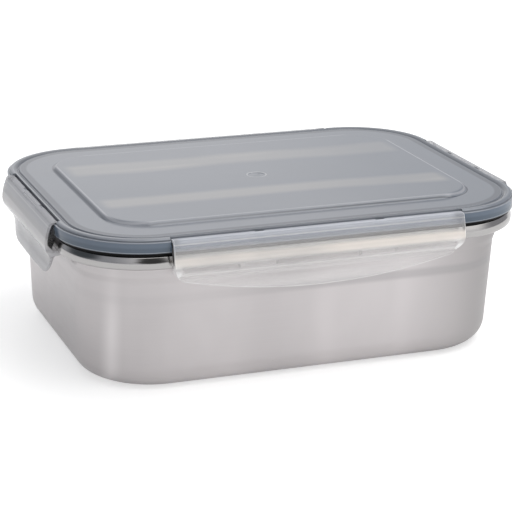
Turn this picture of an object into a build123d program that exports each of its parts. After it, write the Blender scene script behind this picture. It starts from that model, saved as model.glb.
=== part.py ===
from build123d import *
import os

# A rectangular lunch box: a deep-drawn steel tub with a rolled rim, a plastic lid with a sealing
# ring in its channel, and four clips that snap over bars moulded in the lid's edges and hook
# under the rim. Origin: centre of the base, on the surface that the box stands on. +X runs along
# the long side, -Y is the front and +Z is up. Millimetres.
#
# Every edge feature runs round one rounded rectangle, the outline of the lid. Its section is
# drawn as (u, z): u is the distance outward from that outline, and z is the height.

# --- Driving dimensions ---------------------------------------------------------------------
LID_HALF_X = 117.5
LID_HALF_Y = 87.8
LID_CORNER = 42.0

# Tub
SHEET = 0.6             # steel thickness
WALL_TOP_U = -8.3       # outside of the wall below the rim
STEP_TOP_Z = 57.5       # stacking step: below it the wall is set in
STEP_FOOT_Z = 54.0
STEP_U = -9.3
STEP_CORNER = 33.0
FOOT_U = -9.9           # wall carried down to the base; the corners lean in more than the sides
FOOT_CORNER = 40.0
BASE_RADIUS = 11.5      # round between wall and base
RIM_TOP_Z = 69.7
RIM_EDGE = (-2.0, 69.7)         # the roll's outer face: its top edge,
RIM_BULGE = (-0.55, 66.4)       # the middle, furthest out,
RIM_HEEL = (-1.3, 63.3)         # and its lower edge
RIM_END_U = -5.4                # where the curled edge stops, open towards the wall
RIM_ROUNDS = (2.6, 1.0, 6.0, 1.3)   # over the wall, then at edge, bulge and heel

# Lid
SKIRT_FOOT_Z = 71.35
SKIRT_TOP_Z = 76.9
SKIRT_DRAFT = 0.2       # the skirt leans in by this much at its foot
SKIRT_WALL = 1.6
LEDGE_Z = 77.0          # narrow ledge between skirt and bead
BEAD_FOOT = (-0.95, 77.4)
BEAD_SHOULDER = (-1.45, 78.05)
BEAD_TOP = (-2.95, 78.3)
BEAD_FALL = (-4.4, 77.95)
GROOVE_U = -5.3
GROOVE_WIDTH = 0.4
GROOVE_Z = 77.3
RING_IN_U = -6.2        # flat ring between the groove and the raised panel
RING_Z = 78.0
PANEL_U = -22.3         # foot of the raised panel
PANEL_CORNER = 23.5
PANEL_Z = 79.7
PANEL_SLOPE = 1.9       # the panel's edge leans in by this much
PANEL_ROUND = 0.8
LID_THICK = 1.8
SEAT_Z = 73.4           # roof of the gasket channel
PLUG_OUT_U = -9.6       # plug wall that drops inside the tub
PLUG_WALL = 1.5
PLUG_FOOT_Z = 65.5
GATE_RADIUS = 4.5       # shallow round mark at the middle of the lid
GATE_DEPTH = 0.35

# Gasket: a channel of silicone that straddles the rolled rim
GASKET_GAP = 0.35       # side clearance in the lid's channel
GASKET_LEG_Z = 69.75
GASKET_LEG = 1.2        # thickness of its two legs
GASKET_SLOPE = 0.6      # how far each leg's inner side leans, as a share of its thickness
GASKET_SEAL_Z = 70.05   # face over the rim

# Hinges: bars moulded in the lid, and C-shaped barrels along the clips
PIVOT_U = -1.3
PIVOT_Z = 76.4
BAR_RADIUS = 0.75
BORE_RADIUS = 0.85
BARREL_RADIUS = 1.35
TROUGH_RADIUS = 1.65
SNAP_SLOT = 1.1         # mouth that lets the barrel snap down over the bar
LUG_WIDTH = 4.0
LUG_RADIUS = 1.1
LUG_CUT_RADIUS = 1.5
LUG_GAP = 0.4           # side gap between lug and barrel
POCKET_FLOOR_Z = 75.4   # the lid's edge is lowered under the clip's top plate
POCKET_GAP = 0.4        # gap between each end of a clip and the lid
POCKET_OUT_U = 1.0      # beyond the skirt
BAR_SET_IN = 0.5        # how far each end of a bar is let into the lid
STEM_FOOT_Z = 73.9

# Clips
HOOK_TIP_U = -4.3       # tip of the ridge that hooks under the rim
HOOK_TIP_Z = 62.7
HOOK_FACE = 1.1
RIDGE_CUT_U = -0.9      # the ridge is cut back to here at its gaps
RIDGE_LOW_Z, RIDGE_HIGH_Z = 50.0, 67.0
CLIP_TOP_Z = 80.0       # anything above the clips
CLIP_DEPTH = 10.0       # anything beyond their inner and outer faces
CLIP_HEEL_Z = 66.0      # where the ends of the outer wall start to round off

# The clip's section, as arcs through three points: outside from the top plate down to the lip
BEND = ((1.0, 77.6), (1.9, 77.2), (2.3, 76.3))
BULGE = ((2.3, 76.3), (3.9, 71.6), (4.6, 66.8))
WAIST = ((4.6, 66.8), (3.5, 62.9), (0.7, 59.6))
LIP = ((0.7, 59.6), (0.2, 56.4), (0.8, 52.0))
LIP_FOOT = ((1.6, 46.0), (0.4, 46.0))
# and inside from the lip up to the barrel
LIP_INSIDE = ((-0.4, 52.0), (-1.0, 55.0), (-1.2, 57.6))
RIDGE_UNDER = (-2.1, 58.6)
RIDGE_OVER = (-0.2, 62.9)
WALL_FOOT = ((2.3, 66.0), (3.0, 66.5), (3.1, 67.3))
WALL_INSIDE = ((3.1, 67.3), (2.45, 71.7), (1.0, 75.6))
BEND_INSIDE = ((1.0, 75.6), (0.6, 76.2), (-0.1, 76.5))

# Each clip: half length, gaps in its ridge, and its lower edge as (along, height) points:
# end of the round at the wall's corner, top and middle and foot of the lip's round, and the
# lip's lowest height at the middle.
LONG_CLIP = {
    "half": 73.4, "gap": (21.0, 39.9), "reach": LID_HALF_Y,
    "heel_mid": (73.0, 63.6), "heel": (72.2, 61.6),
    "lip_top": (71.6, 60.4), "lip_mid": (69.6, 57.9), "lip_foot": (65.5, 56.2), "lip_low": 49.1,
}
SHORT_CLIP = {
    "half": 44.2, "gap": (10.0, 22.0), "reach": LID_HALF_X,
    "heel_mid": (43.4, 62.0), "heel": (40.0, 59.8),
    "lip_top": (36.8, 59.3), "lip_mid": (33.2, 51.9), "lip_foot": (24.0, 48.1), "lip_low": 47.6,
}

# The clip on each side, and the quarter turns that take it there from the +X side
SIDES = {
    "right": (SHORT_CLIP, 0),
    "back": (LONG_CLIP, 1),
    "left": (SHORT_CLIP, 2),
    "front": (LONG_CLIP, 3),
}


# --- Helpers --------------------------------------------------------------------------------
def ring(section):
    """Carry a (u, z) section round the outline: four straight runs and four corner bends."""
    run_x = LID_HALF_X - LID_CORNER
    run_y = LID_HALF_Y - LID_CORNER
    profile = Plane.XZ * section
    end = extrude(Pos(LID_HALF_X, -run_y, 0) * profile, 2 * run_y, dir=(0, 1, 0))
    side = extrude(Pos(run_x, LID_HALF_Y, 0) * Rot(0, 0, 90) * profile, 2 * run_x, dir=(-1, 0, 0))
    bend = revolve(Pos(LID_HALF_X, run_y, 0) * profile, Axis((run_x, run_y, 0), (0, 0, 1)), 90)
    bends = [bend, mirror(bend, Plane.YZ)]
    bends += [mirror(one, Plane.XZ) for one in bends]
    return end.fuse(side, mirror(side, Plane.XZ), mirror(end, Plane.YZ), *bends).clean()


def plate(offset, low, high):
    """Flat rounded rectangle, offset from the outline, between two heights."""
    width = 2 * (LID_HALF_X + offset)
    depth = 2 * (LID_HALF_Y + offset)
    return Pos(0, 0, low) * extrude(RectangleRounded(width, depth, LID_CORNER + offset), high - low)


def slab(low, high):
    """Solid between two rounded rectangles, each (offset from the outline, corner, height)."""
    faces = []
    for offset, corner, height in (low, high):
        width = 2 * (LID_HALF_X + offset)
        depth = 2 * (LID_HALF_Y + offset)
        faces.append(Pos(0, 0, height) * RectangleRounded(width, depth, corner))
    return loft(faces, ruled=True)


def closed_face(*edges):
    return make_face(Curve() + list(edges))


def polygon(*points):
    return make_face(Polyline(*points, close=True))


def box_section(u_low, u_high, z_low, z_high):
    return polygon((u_low, z_low), (u_high, z_low), (u_high, z_high), (u_low, z_high))


def prism(section, reach, half_length, middle=0):
    """Extrude a (u, z) section along the +X edge, both ways from `middle`."""
    return extrude(Pos(reach, middle, 0) * (Plane.XZ * section), half_length, both=True)


def pivot_disc(radius):
    return Pos(PIVOT_U, PIVOT_Z) * Circle(radius)


def lug_middles(clip):
    """Lugs hold the bar where the clip's ridge has its gaps."""
    middle = sum(clip["gap"]) / 2
    return (-middle, middle)


# --- Tub ------------------------------------------------------------------------------------
def tub_shape(inset):
    """Wall below the rim, stacking step and rounded base, each `inset` from the outside."""
    foot = (FOOT_U - inset, FOOT_CORNER - inset, inset)
    step_foot = (STEP_U - inset, STEP_CORNER - inset, STEP_FOOT_Z)
    step_top = (WALL_TOP_U - inset, LID_CORNER + WALL_TOP_U - inset, STEP_TOP_Z)
    lower = slab(foot, step_foot)
    base_edges = lower.edges().group_by(Axis.Z)[0]
    return fillet(base_edges, BASE_RADIUS - inset) + slab(step_foot, step_top)


def rim_skin(inset):
    """Everything inside the rim's outline, `inset` from its outside."""
    corners = ((WALL_TOP_U - SHEET, RIM_TOP_Z), RIM_EDGE, RIM_BULGE, RIM_HEEL)
    outline = polygon((WALL_TOP_U - SHEET, RIM_HEEL[1]), *corners)
    for corner, radius in zip(corners, RIM_ROUNDS):
        vertex = outline.vertices().sort_by_distance((*corner, 0))[0]
        outline = fillet(vertex, radius)
    return offset(outline, -inset) if inset else outline


def rim_section():
    """Rolled rim: the sheet turns out over the top and curls under, open towards the wall."""
    mouth = box_section(
        WALL_TOP_U - 2 * SHEET, RIM_END_U, RIM_HEEL[1] - SHEET, RIM_TOP_Z - RIM_ROUNDS[0]
    )
    return rim_skin(0) - rim_skin(SHEET) - mouth


def make_tub():
    neck = box_section(WALL_TOP_U - SHEET, WALL_TOP_U, STEP_TOP_Z, RIM_TOP_Z - RIM_ROUNDS[0])
    return tub_shape(0) - tub_shape(SHEET) + ring(neck) + ring(rim_section())


# --- Lid ------------------------------------------------------------------------------------
def lid_section():
    """Skirt, bead, groove, gasket channel and plug wall."""
    plug_in_u = PLUG_OUT_U - PLUG_WALL
    bead_in_u = BEAD_FOOT[0]
    crown = ThreePointArc(BEAD_FOOT, BEAD_SHOULDER, BEAD_TOP)
    fall = ThreePointArc(BEAD_TOP, BEAD_FALL, (GROOVE_U, GROOVE_Z))
    skirt = Polyline(
        (-SKIRT_DRAFT, SKIRT_FOOT_Z), (0, SKIRT_TOP_Z), (bead_in_u, LEDGE_Z), BEAD_FOOT
    )
    top = Polyline(
        (GROOVE_U, GROOVE_Z), (GROOVE_U - GROOVE_WIDTH, GROOVE_Z), (RING_IN_U, RING_Z),
        (plug_in_u, RING_Z), (plug_in_u, PLUG_FOOT_Z),
    )
    under = Polyline(
        (plug_in_u, PLUG_FOOT_Z), (PLUG_OUT_U, PLUG_FOOT_Z), (PLUG_OUT_U, SEAT_Z),
        (-SKIRT_WALL, SEAT_Z), (-SKIRT_WALL, SKIRT_FOOT_Z), (-SKIRT_DRAFT, SKIRT_FOOT_Z),
    )
    return closed_face(skirt, crown, fall, top, under)


def raised_panel(lowered):
    """The lid's middle, a low flat rise with sloping sides, or the same `lowered`."""
    foot = (PANEL_U - lowered, PANEL_CORNER - lowered, RING_Z - LID_THICK - lowered)
    base = (PANEL_U - lowered, PANEL_CORNER - lowered, RING_Z - lowered)
    top_u = PANEL_U - PANEL_SLOPE - lowered
    top = (top_u, PANEL_CORNER - PANEL_SLOPE - lowered, PANEL_Z - lowered)
    rise = slab(base, top)
    rise = fillet(rise.edges().group_by(Axis.Z)[-1], PANEL_ROUND)
    return rise + slab(foot, base)


def hinge_pocket(clip):
    """Room for a clip's top plate and barrel: the bead is cut away down to a trough."""
    over_trough = box_section(PIVOT_U - TROUGH_RADIUS, PIVOT_U, PIVOT_Z, CLIP_TOP_Z)
    under_plate = box_section(PIVOT_U, POCKET_OUT_U, POCKET_FLOOR_Z, CLIP_TOP_Z)
    section = pivot_disc(TROUGH_RADIUS) + over_trough + under_plate
    return prism(section, clip["reach"], clip["half"] + POCKET_GAP)


def hinge_bar(clip):
    """Bar along the pocket, let into its end walls, on two lugs."""
    stem = box_section(PIVOT_U - LUG_RADIUS, PIVOT_U + LUG_RADIUS, STEM_FOOT_Z, PIVOT_Z)
    lug = pivot_disc(LUG_RADIUS) + stem
    bar = prism(pivot_disc(BAR_RADIUS), clip["reach"], clip["half"] + POCKET_GAP + BAR_SET_IN)
    for middle in lug_middles(clip):
        bar += prism(lug, clip["reach"], LUG_WIDTH / 2, middle)
    return bar


def make_lid():
    lid = ring(lid_section()) + plate(PLUG_OUT_U - PLUG_WALL, RING_Z - LID_THICK, RING_Z)
    lid += raised_panel(0)
    lid -= raised_panel(LID_THICK)
    for clip, turns in SIDES.values():
        lid -= Rot(0, 0, 90 * turns) * hinge_pocket(clip)
        lid += Rot(0, 0, 90 * turns) * hinge_bar(clip)
    lid -= Pos(0, 0, PANEL_Z - GATE_DEPTH) * extrude(Circle(GATE_RADIUS), 1)
    return lid


# --- Gasket ---------------------------------------------------------------------------------
def make_gasket():
    out_u = -SKIRT_WALL - GASKET_GAP
    in_u = PLUG_OUT_U + GASKET_GAP
    lean = GASKET_LEG * (1 + GASKET_SLOPE)
    return ring(polygon(
        (out_u, SEAT_Z), (out_u, GASKET_LEG_Z), (out_u - GASKET_LEG, GASKET_LEG_Z),
        (out_u - lean, GASKET_SEAL_Z), (in_u + lean, GASKET_SEAL_Z),
        (in_u + GASKET_LEG, GASKET_LEG_Z), (in_u, GASKET_LEG_Z), (in_u, SEAT_Z),
    ))


# --- Clips ----------------------------------------------------------------------------------
def clip_section():
    """Top plate from the hinge, bulged outer wall, ridge under the rim and finger lip."""
    plate_in = (PIVOT_U, PIVOT_Z + BARREL_RADIUS)
    outside = [Line(plate_in, BEND[0])]
    outside += [ThreePointArc(*points) for points in (BEND, BULGE, WAIST, LIP)]
    lip_inside = [
        Polyline(LIP[-1], *LIP_FOOT, LIP_INSIDE[0]),
        ThreePointArc(*LIP_INSIDE),
    ]
    ridge = Polyline(
        LIP_INSIDE[-1], RIDGE_UNDER, (HOOK_TIP_U, HOOK_TIP_Z - HOOK_FACE),
        (HOOK_TIP_U, HOOK_TIP_Z), RIDGE_OVER, WALL_FOOT[0],
    )
    wall_inside = [ThreePointArc(*points) for points in (WALL_FOOT, WALL_INSIDE, BEND_INSIDE)]
    hinge = Polyline(BEND_INSIDE[-1], (PIVOT_U, PIVOT_Z), plate_in)
    return closed_face(*outside, *lip_inside, ridge, *wall_inside, hinge)


def lower_edge_keep(clip):
    """Everything above a clip's lower edge, seen from outside: (along, height)."""
    def other(point):
        return (-point[0], point[1])

    half = clip["half"]
    heel, lip_top, lip_foot = clip["heel"], clip["lip_top"], clip["lip_foot"]
    side = [
        ThreePointArc((half, CLIP_HEEL_Z), clip["heel_mid"], heel),
        Line(heel, lip_top),
        ThreePointArc(lip_top, clip["lip_mid"], lip_foot),
    ]
    other_side = [
        ThreePointArc(other(lip_foot), other(clip["lip_mid"]), other(lip_top)),
        Line(other(lip_top), other(heel)),
        ThreePointArc(other(heel), other(clip["heel_mid"]), (-half, CLIP_HEEL_Z)),
    ]
    bottom = ThreePointArc(lip_foot, (0, clip["lip_low"]), other(lip_foot))
    over = Polyline(
        (-half, CLIP_HEEL_Z), (-half, CLIP_TOP_Z), (half, CLIP_TOP_Z), (half, CLIP_HEEL_Z)
    )
    face = closed_face(*side, bottom, *other_side, over)
    return extrude(Pos(clip["reach"], 0, 0) * (Plane.YZ * face), CLIP_DEPTH, both=True)


def make_clip(clip):
    slot = box_section(
        PIVOT_U - SNAP_SLOT / 2, PIVOT_U + SNAP_SLOT / 2, PIVOT_Z - 2 * BARREL_RADIUS, PIVOT_Z
    )
    section = clip_section() + pivot_disc(BARREL_RADIUS) - pivot_disc(BORE_RADIUS) - slot
    body = prism(section, clip["reach"], clip["half"]) & lower_edge_keep(clip)
    for middle in lug_middles(clip):
        body -= prism(pivot_disc(LUG_CUT_RADIUS), clip["reach"], LUG_WIDTH / 2 + LUG_GAP, middle)
    gap_half = (clip["gap"][1] - clip["gap"][0]) / 2
    gap = box_section(HOOK_TIP_U - HOOK_FACE, RIDGE_CUT_U, RIDGE_LOW_Z, RIDGE_HIGH_Z)
    for middle in lug_middles(clip):
        body -= prism(gap, clip["reach"], gap_half, middle)
    return body


# --- Write the parts ------------------------------------------------------------------------
parts = {"tub": make_tub(), "lid": make_lid(), "gasket": make_gasket()}
for side_name, (side_clip, side_turns) in SIDES.items():
    parts[f"clip_{side_name}"] = Rot(0, 0, 90 * side_turns) * make_clip(side_clip)

os.makedirs("parts", exist_ok=True)
for part_name, shape in parts.items():
    export_step(shape, f"parts/{part_name}.step")
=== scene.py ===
import math

import bmesh
import bpy
from mathutils import Matrix, Vector


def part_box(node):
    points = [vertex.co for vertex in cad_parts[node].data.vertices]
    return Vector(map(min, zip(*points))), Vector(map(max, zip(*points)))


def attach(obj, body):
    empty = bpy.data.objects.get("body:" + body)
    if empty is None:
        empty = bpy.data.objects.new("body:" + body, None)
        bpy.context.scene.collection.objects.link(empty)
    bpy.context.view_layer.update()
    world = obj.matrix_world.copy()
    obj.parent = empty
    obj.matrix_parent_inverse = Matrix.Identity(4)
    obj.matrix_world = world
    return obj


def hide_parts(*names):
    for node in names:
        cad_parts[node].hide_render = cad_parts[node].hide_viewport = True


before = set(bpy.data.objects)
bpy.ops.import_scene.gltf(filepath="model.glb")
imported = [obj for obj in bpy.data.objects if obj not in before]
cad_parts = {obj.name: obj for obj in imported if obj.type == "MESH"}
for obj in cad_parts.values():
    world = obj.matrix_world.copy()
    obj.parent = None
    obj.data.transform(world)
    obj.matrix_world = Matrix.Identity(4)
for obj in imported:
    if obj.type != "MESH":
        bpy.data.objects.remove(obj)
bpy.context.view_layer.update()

# Lunch box: drawn steel tub, translucent lid with a black seal, four clear clips.
# Shapes are worked out in millimetres and made in metres. Edge features run round one rounded
# rectangle, the outline of the lid, as (u, z): u is the distance outward from that outline.
MM = 0.001

# --- Sizes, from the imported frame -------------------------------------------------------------
lid_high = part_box("lid")[1] / MM
HALF_X, HALF_Y = lid_high.x, lid_high.y
CORNER = 42.0
LONG_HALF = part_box("clip_front")[1].x / MM
SHORT_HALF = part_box("clip_right")[1].y / MM

# Tub: sheet, base, wall, stacking step and rolled rim
SHEET = 0.6
BASE_ROUND, FOOT_CORNER = 11.5, 40.0
LOW_U = -9.77                  # wall where the base's round ends
STEP_U, STEP_CORNER, STEP_FOOT, STEP_TOP = -9.3, 33.0, 54.0, 57.5
WALL_U = -8.3
ROLL_Z, RIM_Z = 67.1, 69.7     # the rim's roll starts here, and its top
RIM = [(-2.0, RIM_Z, 1.0), (-0.55, 66.4, 6.0), (-1.3, 63.3, 1.3), (-5.4, 63.3)]

# Lid: skirt, bead, groove, flat ring, raised panel, and the plug wall inside the tub
THICK = 1.8
SKIRT_FOOT, SKIRT_TOP, SKIRT_DRAFT, SKIRT_IN = 71.35, 76.9, 0.2, -1.6
BEAD_FOOT, BEAD_SHOULDER, BEAD_TOP = (-0.95, 77.4), (-1.5, 78.05), (-2.95, 78.3)
BEAD_FALL, GROOVE, GROOVE_IN = (-4.4, 77.95), (-5.3, 77.3), -5.7
RING_U, RING_Z = -6.2, 78.0
PANEL_U, PANEL_FOOT_U, PANEL_Z = -24.2, -22.3, 79.7
UNDER_U, UNDER_FOOT_U = -26.0, -24.1    # the same slope on the panel's underside
PANEL_EXTRA = 3.8              # the panel's corners are rounder than the outline's offset
SEAT_Z = 73.4
PLUG_OUT, PLUG_IN, PLUG_FOOT = -9.6, -11.1, 65.5
GATE_R, GATE_DEPTH = 4.5, 0.35

# Seal: gap beside it, legs, and its face over the rim
SEAL_GAP, LEG, LEG_LEAN, LEG_Z, SEAL_Z = 0.35, 1.2, 1.92, 69.75, 70.05

# Hinges: bars and lugs on the lid, C-shaped barrels on the clips, troughs round them
PIVOT = (-1.3, 76.4)
BAR_R, BORE_R, BARREL_R, TROUGH_R = 0.75, 0.85, 1.35, 1.65
LUG_R, LUG_CUT_R, LUG_HALF, LUG_GAP = 1.1, 1.5, 2.0, 0.4
POCKET_GAP, POCKET_FLOOR, STEM_FOOT = 0.4, 75.4, 73.9
BAR_SET_IN = 0.4
SLOT_HALF = 0.55

# Clips: their ridge's gaps, and the lower edge as (along, height) from the end to the lip
HEEL_Z = 66.0
LONG_CLIP = {
    "half": LONG_HALF, "gap": (21.0, 39.9), "reach": HALF_Y,
    "edge": [(73.0, 63.6), (72.2, 61.6), (71.6, 60.4), (69.6, 57.9), (65.5, 56.2)], "low": 49.1,
}
SHORT_CLIP = {
    "half": SHORT_HALF, "gap": (10.0, 22.0), "reach": HALF_X,
    "edge": [(43.4, 62.0), (40.0, 59.8), (36.8, 59.3), (33.2, 51.9), (24.0, 48.1)], "low": 47.6,
}
SIDES = {"right": (SHORT_CLIP, 0), "back": (LONG_CLIP, 1),
         "left": (SHORT_CLIP, 2), "front": (LONG_CLIP, 3)}


# --- Flat curves ------------------------------------------------------------------------------
def arc(centre, radius, start, end, steps):
    """Points on an arc; angles in degrees."""
    turns = [math.radians(start + (end - start) * k / steps) for k in range(steps + 1)]
    return [(centre[0] + radius * math.cos(a), centre[1] + radius * math.sin(a)) for a in turns]


def arc_through(p, q, r, steps):
    """Points on the arc from p through q to r."""
    (ax, ay), (bx, by), (cx, cy) = p, q, r
    d = 2 * (ax * (by - cy) + bx * (cy - ay) + cx * (ay - by))
    aa, bb, cc = ax * ax + ay * ay, bx * bx + by * by, cx * cx + cy * cy
    centre = ((aa * (by - cy) + bb * (cy - ay) + cc * (ay - by)) / d,
              (aa * (cx - bx) + bb * (ax - cx) + cc * (bx - ax)) / d)
    turn = [math.degrees(math.atan2(y - centre[1], x - centre[0])) for x, y in (p, q, r)]
    sweep = (turn[2] - turn[0]) % 360
    if (turn[1] - turn[0]) % 360 > sweep:
        sweep -= 360
    return arc(centre, math.dist(centre, p), turn[0], turn[0] + sweep, steps)


def rounded(corners, steps=4):
    """A path through corners (u, z) or (u, z, radius), each radius turned into an arc."""
    path = []
    for k, corner in enumerate(corners):
        here = Vector(corner[:2])
        if len(corner) < 3 or k in (0, len(corners) - 1):
            path.append(tuple(here))
            continue
        back = Vector(corners[k - 1][:2]) - here
        ahead = Vector(corners[k + 1][:2]) - here
        half = back.angle(ahead) / 2
        reach = min(corner[2] / math.tan(half), 0.49 * back.length, 0.49 * ahead.length)
        start, end = here + back.normalized() * reach, here + ahead.normalized() * reach
        middle = here + (back.normalized() + ahead.normalized()).normalized() * (
            reach / math.cos(half) - reach * math.tan(half))
        path += arc_through(tuple(start), tuple(middle), tuple(end), steps)
    return path


def offset(path, distance, closed=False):
    """The path moved to its right by `distance`."""
    moved, last = [], len(path) - 1
    for k, (u, z) in enumerate(path):
        before = path[k - 1] if k or closed else path[0]
        after = path[(k + 1) % len(path)] if k < last or closed else path[-1]
        du, dz = after[0] - before[0], after[1] - before[1]
        length = math.hypot(du, dz) or 1.0
        moved.append((u + distance * dz / length, z - distance * du / length))
    return moved


def height_path(path):
    """(u, z) path with rising z, as a function from z to u."""
    def u_at(z):
        for (u0, z0), (u1, z1) in zip(path, path[1:]):
            if z <= z1 and z0 < z1:
                return u0 + (u1 - u0) * max(0.0, z - z0) / (z1 - z0)
        return path[-1][0]
    return u_at


# --- Meshes -----------------------------------------------------------------------------------
class Shell:
    """Collects faces in millimetres; points that coincide are one vertex."""

    def __init__(self):
        self.points, self.index, self.faces = [], {}, []

    def point(self, p):
        key = tuple(round(c, 4) for c in p)
        if key not in self.index:
            self.index[key] = len(self.points)
            self.points.append([c * MM for c in p])
        return self.index[key]

    def face(self, *corners):
        ids = [self.point(p) for p in corners]
        ids = [a for a, b in zip(ids, ids[1:] + ids[:1]) if a != b]
        if len(ids) > 2 and len(set(ids)) == len(ids):
            self.faces.append(ids)

    def quads(self, row, other, closed=False):
        count = len(row) if closed else len(row) - 1
        for k in range(count):
            j = (k + 1) % len(row)
            self.face(row[k], row[j], other[j], other[k])

    def loft(self, rows, closed=False):
        for row, other in zip(rows, rows[1:]):
            self.quads(row, other, closed)

    def piece(self, name, material, slot, body, *nodes, sharp=38):
        mesh = bpy.data.meshes.new(name)
        mesh.from_pydata(self.points, [], self.faces)
        made = bmesh.new()
        made.from_mesh(mesh)
        bmesh.ops.recalc_face_normals(made, faces=made.faces)
        made.to_mesh(mesh)
        made.free()
        mesh.shade_smooth()
        mesh.set_sharp_from_angle(angle=math.radians(sharp))
        mesh.materials.append(material)
        obj = bpy.data.objects.new(name, mesh)
        bpy.context.scene.collection.objects.link(obj)
        even = obj.modifiers.new("even_normals", "WEIGHTED_NORMAL")
        even.keep_sharp = True
        even.weight = 80
        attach(obj, body)
        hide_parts(*nodes)
        return obj


def turned(points, quarters):
    """Turn (x, y, z) points about Z by quarter turns."""
    for _ in range(quarters):
        points = [(-y, x, z) for x, y, z in points]
    return points


# Stations round the outline: on side q, a fraction of the straight run, or an angle of the bend
CORNER_STEPS = 22
STATIONS = []
for q in range(4):
    clip = (SHORT_CLIP, LONG_CLIP)[q % 2]
    run = (HALF_Y, HALF_X)[q % 2] - CORNER
    pocket = (clip["half"] + POCKET_GAP) / run
    spans = round(pocket * run / 3)
    inner = [pocket * (2 * k / spans - 1) for k in range(spans + 1)]
    STATIONS += [(q, f, None) for f in [-1.0, *inner, 1.0]]
    STATIONS += [(q, 1.0, 90 * k / CORNER_STEPS) for k in range(1, CORNER_STEPS)]
POCKETS = [(clip["half"] + POCKET_GAP) / ((HALF_Y, HALF_X)[q % 2] - CORNER)
           for q, clip in enumerate((SHORT_CLIP, LONG_CLIP, SHORT_CLIP, LONG_CLIP))]


def in_pocket(k):
    """True where the span after station k lies in a hinge pocket."""
    ends = STATIONS[k], STATIONS[(k + 1) % len(STATIONS)]
    return all(bend is None and abs(f) <= POCKETS[q] + 1e-6 for q, f, bend in ends)


def loop(u, z, corner=None):
    """One point at each station, on the rounded rectangle offset by u."""
    corner = CORNER + u if corner is None else corner
    row = []
    for q, f, bend in STATIONS:
        out, run = ((HALF_X, HALF_Y), (HALF_Y, HALF_X))[q % 2]
        out, run = out + u, run + u - corner
        if bend is None:
            p = (out, f * run, z)
        else:
            a = math.radians(bend)
            p = (out - corner + corner * math.cos(a), run + corner * math.sin(a), z)
        row += turned([p], q)
    return row


def circle(radius, z):
    """One point at each station, on a circle about the middle."""
    row = []
    for x, y, _ in loop(-30, z):
        scale = radius / math.hypot(x, y)
        row.append((x * scale, y * scale, z))
    return row


def blend_rows(row, other, count):
    """Rows evenly between two rows."""
    return [[tuple(a + (b - a) * k / count for a, b in zip(p, q)) for p, q in zip(row, other)]
            for k in range(1, count)]


def side_points(section, clip, quarters, along):
    """(u, z) points of a section placed at `along` on one side."""
    return turned([(clip["reach"] + u, along, z) for u, z in section], quarters)


# --- Tub --------------------------------------------------------------------------------------
BASE_STEPS = 12
WALL_LEVELS = (20.0, 29.0, 38.0, 46.0)


def tub_corner(z, u):
    """Corner radius of the tub's outside at a height."""
    if z < STEP_FOOT:
        return FOOT_CORNER + (STEP_CORNER - FOOT_CORNER) * z / STEP_FOOT
    if z < STEP_TOP:
        climbed = (z - STEP_FOOT) / (STEP_TOP - STEP_FOOT)
        return STEP_CORNER + (CORNER + WALL_U - STEP_CORNER) * climbed
    return CORNER + u


def wall_rows(inset):
    """Rows from the edge of the flat base up to the foot of the rim."""
    radius = BASE_ROUND - inset
    foot_u, corner = LOW_U - inset, tub_corner(BASE_ROUND, 0) - inset
    rows = []
    for k in range(BASE_STEPS + 1):
        a = math.radians(90 * k / BASE_STEPS)
        pulled = radius * (1 - math.sin(a))
        rows.append(loop(foot_u - pulled, inset + radius * (1 - math.cos(a)), corner - pulled))
    lean = (STEP_U - LOW_U) / (STEP_FOOT - BASE_ROUND)
    path = [(foot_u + lean * (z - BASE_ROUND), z) for z in WALL_LEVELS]
    path += rounded([
        (foot_u, BASE_ROUND), (STEP_U - inset, STEP_FOOT, 5.0), (WALL_U - inset, STEP_TOP, 4.0),
        (WALL_U - inset, ROLL_Z),
    ], 6)[1:]
    for u, z in path:
        rows.append(loop(u, z, tub_corner(z, u + inset) - inset))
    return rows


def make_tub():
    outside, inside = wall_rows(0), wall_rows(SHEET)
    wall_u = WALL_U - SHEET
    over = rounded([(wall_u, ROLL_Z), (wall_u, RIM_Z, RIM_Z - ROLL_Z), *RIM], 9)
    under = offset(over, SHEET)
    tip = [(over[-1][0] - SHEET / 4, over[-1][1] + SHEET / 2)]
    shell = Shell()
    rim = [loop(u, z) for u, z in under[1:] + tip + over[:0:-1]]
    shell.loft(outside + rim + inside[::-1], closed=True)
    shell.face(*outside[0])
    shell.face(*inside[0])
    return shell.piece("tub_steel", steel(), "steel", "tub", "tub")


# --- Lid --------------------------------------------------------------------------------------
POCKET_START = (-0.045, 75.1)      # on the skirt, below the pockets


def bead_path():
    """The lid's edge from the skirt over the ledge to the top of the bead."""
    crown = arc_through(BEAD_FOOT, BEAD_SHOULDER, BEAD_TOP, 8)
    ledge = rounded([
        POCKET_START, (0, SKIRT_TOP, 0.25), (BEAD_FOOT[0], SKIRT_TOP + 0.1, 0.1), crown[0]
    ])
    return ledge[:-1] + crown


def pocket_path():
    """The same stretch inside a hinge pocket: floor, trough and upright."""
    start = -math.degrees(math.asin((PIVOT[1] - POCKET_FLOOR) / TROUGH_R))
    trough = arc(PIVOT, TROUGH_R, start, -180, 16)
    floor = rounded([POCKET_START, (-0.03, POCKET_FLOOR, 0.2), trough[0]], 3)
    return floor[:-1] + trough + [BEAD_TOP]


def lid_under():
    """(u, z) path under the lid, from its middle over the plug wall and seat to the skirt."""
    roof = RING_Z - THICK
    return rounded([
        (UNDER_U, PANEL_Z - THICK), (UNDER_FOOT_U, roof, 0.6), (PLUG_IN, roof, 0.8),
        (PLUG_IN, PLUG_FOOT, 0.6), (PLUG_OUT, PLUG_FOOT, 0.6), (PLUG_OUT, SEAT_Z, 0.4),
        (SKIRT_IN, SEAT_Z, 0.3), (SKIRT_IN, SKIRT_FOOT, 0.35), (-SKIRT_DRAFT, SKIRT_FOOT, 0.35),
        POCKET_START,
    ])


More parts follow.
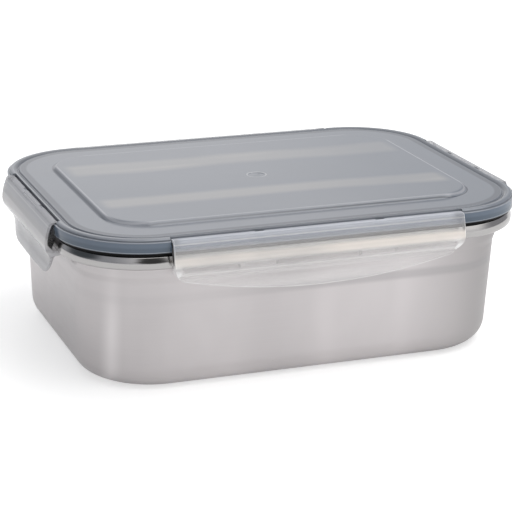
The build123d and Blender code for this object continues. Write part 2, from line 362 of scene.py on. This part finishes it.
def lid_top():
    """(u, z) path over the lid, from the bead's top down its groove to the raised panel."""
    fall = arc_through(BEAD_TOP, BEAD_FALL, GROOVE, 8)
    ring_edge = rounded([(GROOVE_IN, GROOVE[1]), (RING_U, RING_Z, 0.35), (-10.0, RING_Z)])
    panel = rounded([
        (-10.0, RING_Z), (PANEL_FOOT_U, RING_Z, 0.6), (PANEL_U, PANEL_Z, 1.8),
        (PANEL_U - 4, PANEL_Z),
    ], 6)
    return fall + ring_edge + panel[1:]


def lid_row(u, z):
    """One row of points round the lid; on the panel the corners are rounder."""
    return loop(u, z, CORNER + u + (PANEL_EXTRA if u < -20 else 0))


def add_lid_edge(shell):
    """Bead all round, lowered to a trough in the four hinge pockets."""
    columns = {False: list(zip(*[loop(u, z) for u, z in bead_path()])),
               True: list(zip(*[loop(u, z) for u, z in pocket_path()]))}
    for k in range(len(STATIONS)):
        here = columns[in_pocket(k)]
        shell.quads(here[k], here[(k + 1) % len(STATIONS)])
        if in_pocket(k) != in_pocket(k - 1):
            shell.face(*columns[False][k], *reversed(columns[True][k][1:-1]))


def add_hinge_bar(shell, clip, quarters):
    """Bar along one pocket, on two lugs."""
    end = clip["half"] + POCKET_GAP + BAR_SET_IN
    bar = arc(PIVOT, BAR_R, 0, 330, 11)
    rows = [side_points(bar, clip, quarters, t) for t in (-end, end)]
    shell.loft(rows, closed=True)
    for row in rows:
        shell.face(*row)
    out_u, in_u = PIVOT[0] + LUG_R, PIVOT[0] - LUG_R
    lug = [(out_u, STEM_FOOT), *arc(PIVOT, LUG_R, 0, 180, 12), (in_u, STEM_FOOT)]
    for middle in (-sum(clip["gap"]) / 2, sum(clip["gap"]) / 2):
        rows = [side_points(lug, clip, quarters, middle + t) for t in (-LUG_HALF, LUG_HALF)]
        shell.loft(rows, closed=True)
        for row in rows:
            shell.face(*row)


def make_lid():
    shell = Shell()
    under = [lid_row(u, z) for u, z in lid_under()]
    shell.loft(under, closed=True)
    shell.face(*under[0])

    rows = [lid_row(u, z) for u, z in lid_top()]
    gate = [circle(GATE_R + 0.35, PANEL_Z), circle(GATE_R, PANEL_Z - 0.1),
            circle(GATE_R - 0.25, PANEL_Z - GATE_DEPTH)]
    pip = [circle(1.6, PANEL_Z - GATE_DEPTH), circle(1.2, PANEL_Z - GATE_DEPTH + 0.12)]
    rows += blend_rows(rows[-1], gate[0], 10) + gate + pip
    shell.loft(rows, closed=True)
    shell.face(*rows[-1])

    add_lid_edge(shell)
    for clip, quarters in SIDES.values():
        add_hinge_bar(shell, clip, quarters)
    return shell.piece("lid_moulding", lid_plastic(), "lid_plastic", "lid", "lid")


# --- Seal -------------------------------------------------------------------------------------
def make_seal():
    out_u, in_u = SKIRT_IN - SEAL_GAP, PLUG_OUT + SEAL_GAP
    middle = (out_u + in_u) / 2
    section = rounded([
        (middle, SEAT_Z), (out_u, SEAT_Z, 0.3), (out_u, LEG_Z, 0.4), (out_u - LEG, LEG_Z, 0.4),
        (out_u - LEG_LEAN, SEAL_Z, 0.4), (in_u + LEG_LEAN, SEAL_Z, 0.4),
        (in_u + LEG, LEG_Z, 0.4), (in_u, LEG_Z, 0.4), (in_u, SEAT_Z, 0.3), (middle, SEAT_Z),
    ])
    shell = Shell()
    shell.loft([loop(u, z) for u, z in section], closed=True)
    return shell.piece("seal_ring", silicone(), "seal", "lid", "gasket")


# --- Clips ------------------------------------------------------------------------------------
PLATE_TOP, PLATE_UNDER = (-0.554, 77.701), (0.2, 76.431)    # the plate's end at the hinge
OUTSIDE = (
    [(1.6, 46.0), (0.8, 52.0)]
    + arc_through((0.7, 59.6), (0.2, 56.4), (0.8, 52.0), 8)[-2::-1]
    + arc_through((4.6, 66.8), (3.5, 62.9), (0.7, 59.6), 10)[-2::-1]
)
UPPER_OUTSIDE = (
    arc_through((4.6, 66.8), (3.9, 71.6), (2.3, 76.3), 10)[1:]
    + arc_through((2.3, 76.3), (1.9, 77.2), (1.0, 77.6), 5)[1:]
)
RIDGED = rounded([
    (0.4, 46.0), (-0.4, 52.0), (-1.0, 55.0, 3.0), (-1.2, 57.6, 0.6), (-2.1, 58.6, 0.5),
    (-4.3, 61.6, 0.5), (-4.3, 62.7, 0.4), (-0.2, 62.9, 0.5), (2.3, 66.0, 0.5), (2.95, 66.8),
])
FLUSH = rounded([
    (0.4, 46.0), (-0.4, 52.0), (-1.0, 55.0, 3.0), (-1.1, 57.4, 0.5), (-0.9, 62.7, 0.15),
    (-0.2, 62.9, 0.3), (2.3, 66.0, 0.5), (2.95, 66.8),
])
UPPER_INSIDE = (
    arc_through((2.95, 66.8), (2.45, 71.7), (1.0, 75.6), 10)[1:]
    + arc_through((1.0, 75.6), (0.6, 76.2), PLATE_UNDER, 5)[1:]
)
LIP_ROUND = 0.55
NEAR = 0.01                    # places closer together than this count as one
GAP_EDGE = 0.25                # the ridge slopes down to its gaps over this length
END_ROUND = ((0.3, 0.0), (0.1, 0.1), (0.0, 0.3))    # (from the end, drawn in)


def barrel_path():
    """From the plate's underside round the C-shaped barrel to the plate's top."""
    lower = math.degrees(math.asin(SLOT_HALF / BARREL_R))
    inner = math.degrees(math.asin(SLOT_HALF / BORE_R))
    right = arc(PIVOT, BARREL_R, 3.2, -90 + lower, 9)
    bore = arc(PIVOT, BORE_R, -90 + inner, 270 - inner, 22)
    left = arc(PIVOT, BARREL_R, -90 - lower, -270, 14)
    return [PLATE_UNDER] + right + bore + left + [PLATE_TOP]


def lug_path():
    """The same stretch beside a lug, where the barrel is cut away."""
    start = math.degrees(math.atan2(PLATE_UNDER[1] - PIVOT[1], PLATE_UNDER[0] - PIVOT[0]))
    end = math.degrees(math.atan2(PLATE_TOP[1] - PIVOT[1], PLATE_TOP[0] - PIVOT[0]))
    return [PLATE_UNDER] + arc(PIVOT, LUG_CUT_R, start, end, 6)[1:-1] + [PLATE_TOP]


def lower_edge(clip):
    """(along, height) points of the clip's lower edge, from one end to the other."""
    heel_mid, heel, lip_top, lip_mid, lip_foot = clip["edge"]
    half = [*arc_through((clip["half"], HEEL_Z), heel_mid, heel, 6),
            *arc_through(lip_top, lip_mid, lip_foot, 10)]
    foot, low = lip_foot, (0, clip["low"])
    sweep = arc_through(foot, low, (-foot[0], foot[1]), 2 * round(foot[0] / 2.5))
    return half[:-1] + sweep + [(-t, h) for t, h in reversed(half[:-1])]


def skin(path, lowest, levels):
    """The points of a rising path at fixed levels, none of them below `lowest`."""
    u_at = height_path(path)
    return [(u_at(max(z, lowest)), max(z, lowest)) for z in levels]


def clip_column(lowest, ridged):
    """The clip's section above `lowest`: up the inside, then down the outside."""
    inside_path = RIDGED if ridged else FLUSH
    inside = skin(inside_path, lowest + LIP_ROUND, sorted({z for _, z in RIDGED + FLUSH}))
    outside = skin(OUTSIDE, lowest + LIP_ROUND, [z for _, z in OUTSIDE])
    u_in, u_out = inside[0][0], outside[0][0]
    middle, half = (u_in + u_out) / 2, (u_out - u_in) / 2
    turns = [math.radians(a) for a in range(-165, -1, 30)]
    lip = [(middle + half * math.cos(a), lowest + LIP_ROUND + LIP_ROUND * math.sin(a))
           for a in turns]
    return lip, inside, outside


def clip_spots(clip, edge):
    """Where sections stand along a clip, and how far the ones at its ends are drawn in."""
    gap_start, gap_end = clip["gap"]
    lug_at, lug_span, end = sum(clip["gap"]) / 2, LUG_HALF + LUG_GAP, clip["half"]
    cuts = (gap_start, gap_start + GAP_EDGE, gap_end, gap_end - GAP_EDGE,
            lug_at + lug_span, lug_at - lug_span)
    inner = {t for t, _ in edge} | {sign * t for sign in (-1, 1) for t in cuts}
    spots = {round(t, 4): 0.0 for t in inner if abs(t) < end - END_ROUND[0][0] - NEAR}
    for back, drawn_in in END_ROUND:
        for sign in (-1, 1):
            spots[round(sign * (end - back), 4)] = drawn_in
    return sorted(spots.items())


def make_clip(side):
    clip, quarters = SIDES[side]
    edge = lower_edge(clip)
    gap_start, gap_end = clip["gap"]
    lug_at, lug_span = sum(clip["gap"]) / 2, LUG_HALF + LUG_GAP
    barrel, lug = barrel_path(), lug_path()

    def height(t):
        for (t0, h0), (t1, h1) in zip(edge, edge[1:]):
            if t1 <= t < t0:
                return h0 + (h1 - h0) * (t0 - t) / (t0 - t1)
        return HEEL_Z

    def section(t, inset, hinge):
        ridged = not gap_start + NEAR < abs(t) < gap_end - NEAR
        lip, inside, outside = clip_column(min(height(t), HEEL_Z - LIP_ROUND), ridged)
        path = lip + outside + UPPER_OUTSIDE + [PLATE_TOP] + hinge[-2::-1]
        path += (inside + UPPER_INSIDE)[::-1]
        return side_points(offset(path, -inset, closed=True), clip, quarters, t)

    shell = Shell()
    spots = clip_spots(clip, edge)
    before = None
    for (t0, inset0), (t1, inset1) in zip(spots, spots[1:]):
        hinge = lug if abs(abs((t0 + t1) / 2) - lug_at) < lug_span else barrel
        shell.quads(section(t0, inset0, hinge), section(t1, inset1, hinge), closed=True)
        if before is not None and before is not hinge:
            shell.face(*side_points([*barrel, *reversed(lug[1:-1])], clip, quarters, t0))
        before = hinge
    for t, inset in (spots[0], spots[-1]):
        shell.face(*section(t, inset, barrel))
    return shell.piece(f"clip_{side}_moulding", clip_plastic(), "clip_plastic",
                       f"clip_{side}", f"clip_{side}")


# --- Materials --------------------------------------------------------------------------------
class Nodes:
    """Short ways to add nodes to a tree."""

    def __init__(self, tree):
        self.tree = tree

    def add(self, kind, **settings):
        node = self.tree.nodes.new(kind)
        for name, value in settings.items():
            setattr(node, name, value)
        return node

    def join(self, source, target):
        if hasattr(source, "links"):
            self.tree.links.new(source, target)
        else:
            target.default_value = source

    def math(self, operation, a, b=0.0, clamp=False):
        node = self.add("ShaderNodeMath", operation=operation, use_clamp=clamp)
        self.join(a, node.inputs[0])
        self.join(b, node.inputs[1])
        return node.outputs[0]

    def ranged(self, value, low, high, start=0.0, end=1.0, smooth=False):
        """`value` from start..end, carried to low..high."""
        node = self.add("ShaderNodeMapRange")
        if smooth:
            node.interpolation_type = "SMOOTHSTEP"
        for k, v in enumerate((value, start, end, low, high)):
            self.join(v, node.inputs[k])
        return node.outputs[0]

    def mix(self, factor, a, b):
        node = self.add("ShaderNodeMix", data_type="RGBA")
        for socket, value in ((0, factor), (6, a), (7, b)):
            self.join(value, node.inputs[socket])
        return node.outputs[2]

    def split(self, vector):
        node = self.add("ShaderNodeSeparateXYZ")
        self.join(vector, node.inputs[0])
        return node.outputs


class Paint(Nodes):
    """A material with one Principled shader, in the object's own coordinates."""

    def __init__(self, name, **plain):
        self.material = bpy.data.materials.new(name)
        self.material.use_nodes = True
        super().__init__(self.material.node_tree)
        self.shader = self.tree.nodes["Principled BSDF"]
        for socket, value in plain.items():
            self.shader.inputs[socket.replace("_", " ")].default_value = value
        self.place = self.add("ShaderNodeTexCoord").outputs["Object"]

    def noise(self, scale, stretch=(1, 1, 1), detail=3.0, rough=0.5, warp=0.0):
        mapping = self.add("ShaderNodeMapping")
        mapping.inputs["Scale"].default_value = stretch
        self.join(self.place, mapping.inputs["Vector"])
        node = self.add("ShaderNodeTexNoise")
        self.join(mapping.outputs[0], node.inputs["Vector"])
        for socket, value in (("Scale", scale), ("Detail", detail), ("Roughness", rough),
                              ("Distortion", warp)):
            node.inputs[socket].default_value = value
        return node.outputs["Fac"]

    def bump(self, height, strength, distance):
        node = self.add("ShaderNodeBump")
        node.inputs["Strength"].default_value = strength
        node.inputs["Distance"].default_value = distance
        self.join(height, node.inputs["Height"])
        return node.outputs[0]

    def product(self, *factors):
        total = factors[0]
        for factor in factors[1:]:
            total = self.math("MULTIPLY", total, factor)
        return total

    def total(self, *terms):
        total = terms[0]
        for term in terms[1:]:
            total = self.math("ADD", total, term)
        return total

    def axes(self):
        """x, y and z in millimetres."""
        return [self.math("DIVIDE", part, MM) for part in self.split(self.place)]

    def outward(self):
        """Distance outward from the lid's outline, in millimetres, as u in the sections."""
        x, y, _ = self.axes()
        qx = self.math("SUBTRACT", self.math("ABSOLUTE", x), HALF_X - CORNER)
        qy = self.math("SUBTRACT", self.math("ABSOLUTE", y), HALF_Y - CORNER)
        px, py = self.math("MAXIMUM", qx, 0.0), self.math("MAXIMUM", qy, 0.0)
        bend = self.math("SQRT", self.total(self.product(px, px), self.product(py, py)))
        flat = self.math("MINIMUM", self.math("MAXIMUM", qx, qy), 0.0)
        return self.math("SUBTRACT", self.total(bend, flat), CORNER)

    def band(self, value, start, end, soft):
        """1 from start to end, 0 beyond them, with soft sides."""
        rise = self.ranged(value, 0, 1, start - soft, start + soft, True)
        fall = self.ranged(value, 1, 0, end - soft, end + soft, True)
        return self.math("MULTIPLY", rise, fall)

    def drive(self, **sockets):
        for name, source in sockets.items():
            self.join(source, self.shader.inputs[name.replace("_", " ")])
        return self.material


def steel():
    """Satin steel, finely brushed and clouded, smoother on the rim; painted shade at both ends, on
    the rim and in a belt, with a painted highlight streak.
    """
    n = Paint("satin_steel", Metallic=1.0, Anisotropic=0.3)
    x, _, z = n.axes()
    rolled = n.ranged(z, 0, 1, 61.5, 64.0, True)
    lines = n.noise(60.0, (0.25, 0.25, 22.0), detail=4.0, rough=0.6)
    cloud = n.noise(9.0, (1.6, 1.6, 0.9), detail=3.0)
    drawn = n.noise(26.0, (1.0, 1.0, 0.12), detail=2.0)
    marks = n.noise(300.0, (0.3, 0.3, 1.5), detail=2.0)
    # Painted by place: painted shade towards both ends, a painted highlight as a light upright
    # streak, and a belt of painted shade below the clips, stronger to the right
    painted_end_shade = n.math("MAXIMUM", n.ranged(x, 0.1, 0.8, 45, 100, True),
                  n.ranged(x, 0.26, 0, -110, -10, True))
    painted_light_streak = n.product(n.band(x, -99, -95, 3.0), n.ranged(z, 0.5, 0.15, 25, 58, True))
    painted_shade_belt = n.product(n.band(z, 43.6, 47.8, 1.2), n.ranged(x, 0.08, 0.42, -60, 10, True))

    tone = n.mix(n.ranged(cloud, 0, 1, 0.3, 0.7, True), (0.585, 0.556, 0.562, 1),
                 (0.70, 0.665, 0.67, 1))
    for where, colour in (
            (n.ranged(drawn, 0.0, 0.45, 0.5, 0.72, True), (0.75, 0.71, 0.715, 1)),
            (n.ranged(lines, 0.0, 0.15, 0.35, 0.7), (0.69, 0.67, 0.67, 1)),
            # painted shade at both ends
            (painted_end_shade, (0.31, 0.30, 0.30, 1)),
            # painted highlight streak
            (painted_light_streak, (0.84, 0.81, 0.81, 1)),
            # painted shade belt below the clips
            (painted_shade_belt, (0.34, 0.33, 0.34, 1)),
            # painted shade: the rolled rim darker
            (rolled, (0.49, 0.48, 0.475, 1))):
        tone = n.mix(where, tone, colour)
    rough = n.total(n.ranged(cloud, 0.27, 0.34), n.ranged(lines, -0.02, 0.03, 0.3, 0.7),
                    n.ranged(marks, 0.0, 0.04, 0.5, 0.75), n.product(rolled, -0.19))
    return n.drive(Base_Color=tone, Roughness=rough, Normal=n.bump(lines, 0.04, 0.0002))


def lid_plastic():
    """Grey polypropylene: slate at the thicker skirt and dark over the seal; painted highlights
    along its bends, streaks of painted reflection on the panel, and painted shade under the bead,
    in the troughs, under the skirt and towards the right.
    """
    n = Paint("lid_polypropylene", IOR=1.5)
    u = n.outward()
    x, y, z = n.axes()
    wave = n.noise(11.0, (0.10, 1.6, 1.0), detail=2.0, warp=0.6)
    cloud = n.noise(30.0, detail=2.0)
    tone = n.mix(wave, (0.205, 0.222, 0.255, 1), (0.235, 0.245, 0.268, 1))
    tone = n.mix(n.ranged(cloud, 0.0, 0.25, 0.4, 0.7), tone, (0.21, 0.22, 0.24, 1))

    # Two warm, uneven streaks of painted reflection across the panel
    patch = n.ranged(n.noise(16.0, (0.25, 1.2, 1.0), detail=3.0), 0.35, 1.0, 0.38, 0.55, True)
    bent = n.total(y, n.ranged(n.noise(14.0, (0.4, 0.4, 1.0)), -14, 14))
    on_panel = n.ranged(u, 1, 0, -32.0, -25.5, True)
    for middle, half, strength in ((33, 13, 0.8), (-30, 11, 0.9)):
        away = n.math("ABSOLUTE", n.math("SUBTRACT", bent, middle))
        painted_light_streak = n.ranged(away, strength, 0, 0.3 * half, half, True)
        tone = n.mix(n.product(painted_light_streak, on_panel, patch), tone, (0.50, 0.47, 0.43, 1))

    # painted shade: the slope's dark line grows darker to the right
    to_right = n.ranged(x, 0.35, 1, -60, 60, True)
    skirt = n.product(n.ranged(u, 0, 1, -1.6, -0.8, True), n.ranged(z, 1, 0, 76.3, 76.9, True))
    slate = n.mix(n.ranged(z, 0, 1, 73.6, 75.0, True), (0.095, 0.125, 0.165, 1),
                  (0.125, 0.160, 0.210, 1))
    from_middle = n.math("SQRT", n.total(n.product(x, x), n.product(y, y)))
    for where, colour in (
            # painted shade: the lid darker towards the right
            (n.ranged(x, 0, 0.3, 0.0, 95, True), (0.11, 0.14, 0.18, 1)),
            # painted highlight on the panel's crest, and a line of painted shade down its slope,
            # darker to the right
            (n.band(u, -25.2, -24.2, 0.25), (0.33, 0.34, 0.37, 1)),
            (n.product(n.band(u, -23.5, -22.8, 0.2), to_right), (0.05, 0.06, 0.08, 1)),
            # the seal below, seen through the lid, then the inner side of the bead
            (n.product(n.band(u, -9.7, -6.5, 0.7), 0.45), (0.045, 0.05, 0.065, 1)),
            (n.product(n.band(u, -5.9, -3.4, 0.3), 0.45), (0.045, 0.05, 0.065, 1)),
            # painted shade under the bead, and on the ledge and in the troughs
            (n.product(n.band(u, -1.3, -0.7, 0.12), n.ranged(z, 1, 0, 77.3, 77.6)),
             (0.07, 0.085, 0.11, 1)),
            (n.ranged(z, 1, 0, 77.0, 77.5), (0.17, 0.185, 0.21, 1)),
            # the skirt, with painted highlights along its top and foot and painted shade underneath
            (skirt, slate),
            (n.product(n.ranged(u, 0, 1, -0.6, -0.4), n.ranged(z, 0, 1, 76.5, 76.8)),
             (0.28, 0.30, 0.34, 1)),
            (n.product(skirt, n.band(z, 71.8, 72.15, 0.1)), (0.27, 0.30, 0.34, 1)),
            (n.ranged(z, 1, 0, 71.68, 71.8), (0.012, 0.014, 0.018, 1)),
            # the round mark at the middle
            (n.band(from_middle, GATE_R - 0.1, GATE_R + 0.7, 0.2), (0.40, 0.41, 0.43, 1))):
        tone = n.mix(where, tone, colour)
    rough = n.ranged(cloud, 0.10, 0.17, 0.3, 0.7)
    return n.drive(Base_Color=tone, Roughness=rough, Normal=n.bump(wave, 0.2, 0.0006))


def clip_plastic():
    """Milky clear polypropylene: denser edge on, in its thicker band over the tub's rim, and along
    its edges.

    Painted shade makes the end and back clips greyer. Painted highlights run along the bend, the
    ends and the lip, the lip's growing to the right, and a warm painted reflection of the tub's rim
    lies on the band over it.
    """
    n = Paint("clip_polypropylene", IOR=1.5)
    x, y, z = n.axes()
    width, depth = n.math("ABSOLUTE", x), n.math("ABSOLUTE", y)
    cloud = n.noise(40.0, detail=3.0)
    flow = n.noise(14.0, (1.0, 1.0, 0.4), detail=2.0)
    streaks = n.noise(22.0, (0.12, 0.12, 14.0), detail=3.0)
    facing = n.add("ShaderNodeLayerWeight").outputs["Facing"]
    tilt = n.split(n.add("ShaderNodeNewGeometry").outputs["Normal"])[2]

    edge_on = n.product(n.ranged(facing, 0, 1, 0.3, 0.8, True),
                        n.ranged(tilt, 1, 0.4, 0.5, 0.9, True))
    past_end = n.math("MINIMUM", n.math("SUBTRACT", width, LONG_CLIP["half"]),
                      n.math("SUBTRACT", depth, SHORT_CLIP["half"]))
    low = n.math("MAXIMUM", n.ranged(z, 1, 0, 58.2, 59.2), n.ranged(past_end, 0, 1, -4.5, -3.0))
    # painted highlight along the lip's lower edge, brighter to the right
    painted_lip_highlight = n.product(n.ranged(tilt, 1, 0, -0.75, -0.12, True), low,
                          n.ranged(x, 0.7, 1.0, -60, 20))
    # painted highlight along the lip and, faintly, along the ends
    rim = n.math("MAXIMUM", painted_lip_highlight, n.ranged(past_end, 0, 0.25, -0.6, -0.3))
    upper = n.ranged(z, 0, 1, 71.5, 75.0, True)
    # a denser band over the tub's rim, tinted with a warm painted reflection of the rim
    thick_and_reflection = n.product(n.band(z, 65.3, 69.8, 1.2), n.ranged(flow, 0.55, 1, 0.35, 0.6, True))
    # painted highlight line along the bend
    bend = n.band(z, 75.4, 75.9, 0.2)
    # painted shade: the end and back clips greyer
    shaded = n.math("MAXIMUM", n.ranged(width, 0, 1, 112, 115), n.ranged(y, 0, 1, 82, 85))

    solid = n.total(n.ranged(cloud, 0.15, 0.21), n.product(edge_on, 0.55),
                    n.product(thick_and_reflection, 0.55), n.product(upper, 0.10),
                    n.ranged(streaks, -0.06, 0.12, 0.3, 0.7), n.product(bend, 0.10))
    solid = n.math("ADD", solid, rim, True)
    tone = n.mix(cloud, (0.84, 0.83, 0.83, 1), (0.90, 0.89, 0.88, 1))
    for where, colour in (
            (n.product(upper, 0.7), (0.66, 0.70, 0.80, 1)),
            # warm painted reflection of the tub's rim
            (n.product(thick_and_reflection, 0.8), (0.97, 0.90, 0.83, 1)),
            # painted highlights on the bend, the lip and the ends
            (n.math("MAXIMUM", bend, rim), (0.97, 0.97, 0.97, 1)),
            # painted shade on the end and back clips
            (n.product(shaded, 0.8), (0.42, 0.42, 0.44, 1))):
        tone = n.mix(where, tone, colour)
    rough = n.ranged(cloud, 0.12, 0.22, 0.3, 0.7)
    return n.drive(Base_Color=tone, Roughness=rough, Alpha=solid,
                   Normal=n.bump(streaks, 0.06, 0.0003))


def silicone():
    """Black silicone with a satin skin and a little dust."""
    n = Paint("black_silicone", IOR=1.35, Specular_IOR_Level=0.25)
    grain = n.noise(700.0, detail=2.0)
    tone = n.mix(n.noise(60.0), (0.001, 0.001, 0.0015, 1), (0.003, 0.003, 0.004, 1))
    return n.drive(Base_Color=tone, Roughness=n.ranged(grain, 0.42, 0.58),
                   Normal=n.bump(grain, 0.15, 0.0001))


def floor_paint():
    """A pale sheet, lit a little from below, as on a light table."""
    n = Paint("studio_floor", Roughness=0.7)
    tone = n.mix(n.noise(2.0), (0.60, 0.60, 0.605, 1), (0.63, 0.63, 0.63, 1))
    n.shader.inputs["Emission Color"].default_value = (1, 1, 1, 1)
    seen = n.add("ShaderNodeLightPath").outputs["Is Camera Ray"]
    return n.drive(Base_Color=tone, Emission_Strength=n.ranged(seen, 0.30, 0.55))


# --- Studio -----------------------------------------------------------------------------------
FLOOR_R = 4000


def make_floor():
    """A plain round floor."""
    shell = Shell()
    turns = [math.tau * k / 64 for k in range(64)]
    rim = [(FLOOR_R * math.cos(a), FLOOR_R * math.sin(a), 0) for a in turns]
    shell.face(*rim)
    mesh = bpy.data.meshes.new("studio_floor")
    mesh.from_pydata(shell.points, [], shell.faces)
    mesh.materials.append(floor_paint())
    floor = bpy.data.objects.new("studio_floor", mesh)
    bpy.context.scene.collection.objects.link(floor)


def softbox(name, place, target, size, power):
    light = bpy.data.lights.new(name, "AREA")
    light.shape = "RECTANGLE"
    light.size, light.size_y = size
    light.energy = power
    obj = bpy.data.objects.new(name, light)
    obj.location = place
    obj.rotation_euler = (Vector(target) - Vector(place)).to_track_quat("-Z", "Y").to_euler()
    bpy.context.scene.collection.objects.link(obj)


def make_world():
    """Soft white surroundings, dim at both sides and dark in front, with bright patches high up."""
    world = bpy.data.worlds.new("studio")
    bpy.context.scene.world = world
    world.use_nodes = True
    n = Nodes(world.node_tree)
    towards = n.add("ShaderNodeTexCoord").outputs["Generated"]

    def lobe(azimuth, elevation, narrow, wide):
        """1 within `narrow` degrees of a direction, 0 beyond `wide`."""
        a, e = math.radians(azimuth), math.radians(elevation)
        node = n.add("ShaderNodeVectorMath", operation="DOT_PRODUCT")
        n.join(towards, node.inputs[0])
        node.inputs[1].default_value = (math.sin(a) * math.cos(e), -math.cos(a) * math.cos(e),
                                        math.sin(e))
        return n.ranged(node.outputs["Value"], 0, 1, math.cos(math.radians(wide)),
                        math.cos(math.radians(narrow)), True)

    level = n.mix(lobe(-100, 0, 40, 100), (0.95, 0.95, 0.96, 1), (0.40, 0.41, 0.44, 1))
    for azimuth, elevation, narrow, wide, tone in (
            (105, 5, 28, 60, (0.34, 0.34, 0.36, 1)),        # dim, low on the right
            (-105, 25, 14, 34, (0.08, 0.09, 0.10, 1)),      # dark, left
            (-2, 19, 13, 26, (0.06, 0.06, 0.06, 1)),        # dark, camera side
            (0, 88, 12, 32, (0.75, 0.75, 0.77, 1)),         # a little dim, overhead
            (-10, 60, 12, 22, (1.9, 1.9, 1.85, 1)),         # softbox, high on the camera side
            (50, 50, 15, 36, (1.4, 1.38, 1.35, 1)),         # softbox, right
            (165, 52, 10, 24, (1.4, 1.4, 1.38, 1))):        # softbox, high behind
        level = n.mix(lobe(azimuth, elevation, narrow, wide), level, tone)
    seen = n.add("ShaderNodeLightPath").outputs["Is Camera Ray"]
    level = n.mix(seen, level, (1, 1, 1, 1))
    background = world.node_tree.nodes["Background"]
    n.join(level, background.inputs["Color"])
    background.inputs["Strength"].default_value = 1.0


def make_camera():
    """The photograph's angle: from the front, a little to the left and above."""
    azimuth, elevation, roll = -0.357486, 0.309494, 0.011185
    distance, shift_right, shift_up = 0.97302, 0.0001666, -0.0037887
    back = Vector((math.sin(azimuth) * math.cos(elevation),
                   -math.cos(azimuth) * math.cos(elevation), math.sin(elevation)))
    level = (-back).cross(Vector((0, 0, 1))).normalized()
    upright = level.cross(-back)
    right = math.cos(roll) * level + math.sin(roll) * upright
    up = -math.sin(roll) * level + math.cos(roll) * upright
    data = bpy.data.cameras.new("camera")
    data.sensor_width = 36.0
    data.lens = 132.64
    data.clip_start = 0.01
    camera = bpy.data.objects.new("camera", data)
    turn = Matrix((right, up, back)).transposed().to_4x4()
    centre = back * distance + right * shift_right + up * shift_up + Vector((0, 0, 0.04))
    camera.matrix_world = Matrix.Translation(centre) @ turn
    bpy.context.scene.collection.objects.link(camera)
    bpy.context.scene.camera = camera


make_tub()
make_lid()
make_seal()
for side in SIDES:
    make_clip(side)

make_floor()
make_world()
softbox("top_light", (0.6, -0.2, 1.5), (0, 0, 0), (1.4, 1.2), 10)
make_camera()
bpy.context.scene.view_settings.view_transform = "Standard"
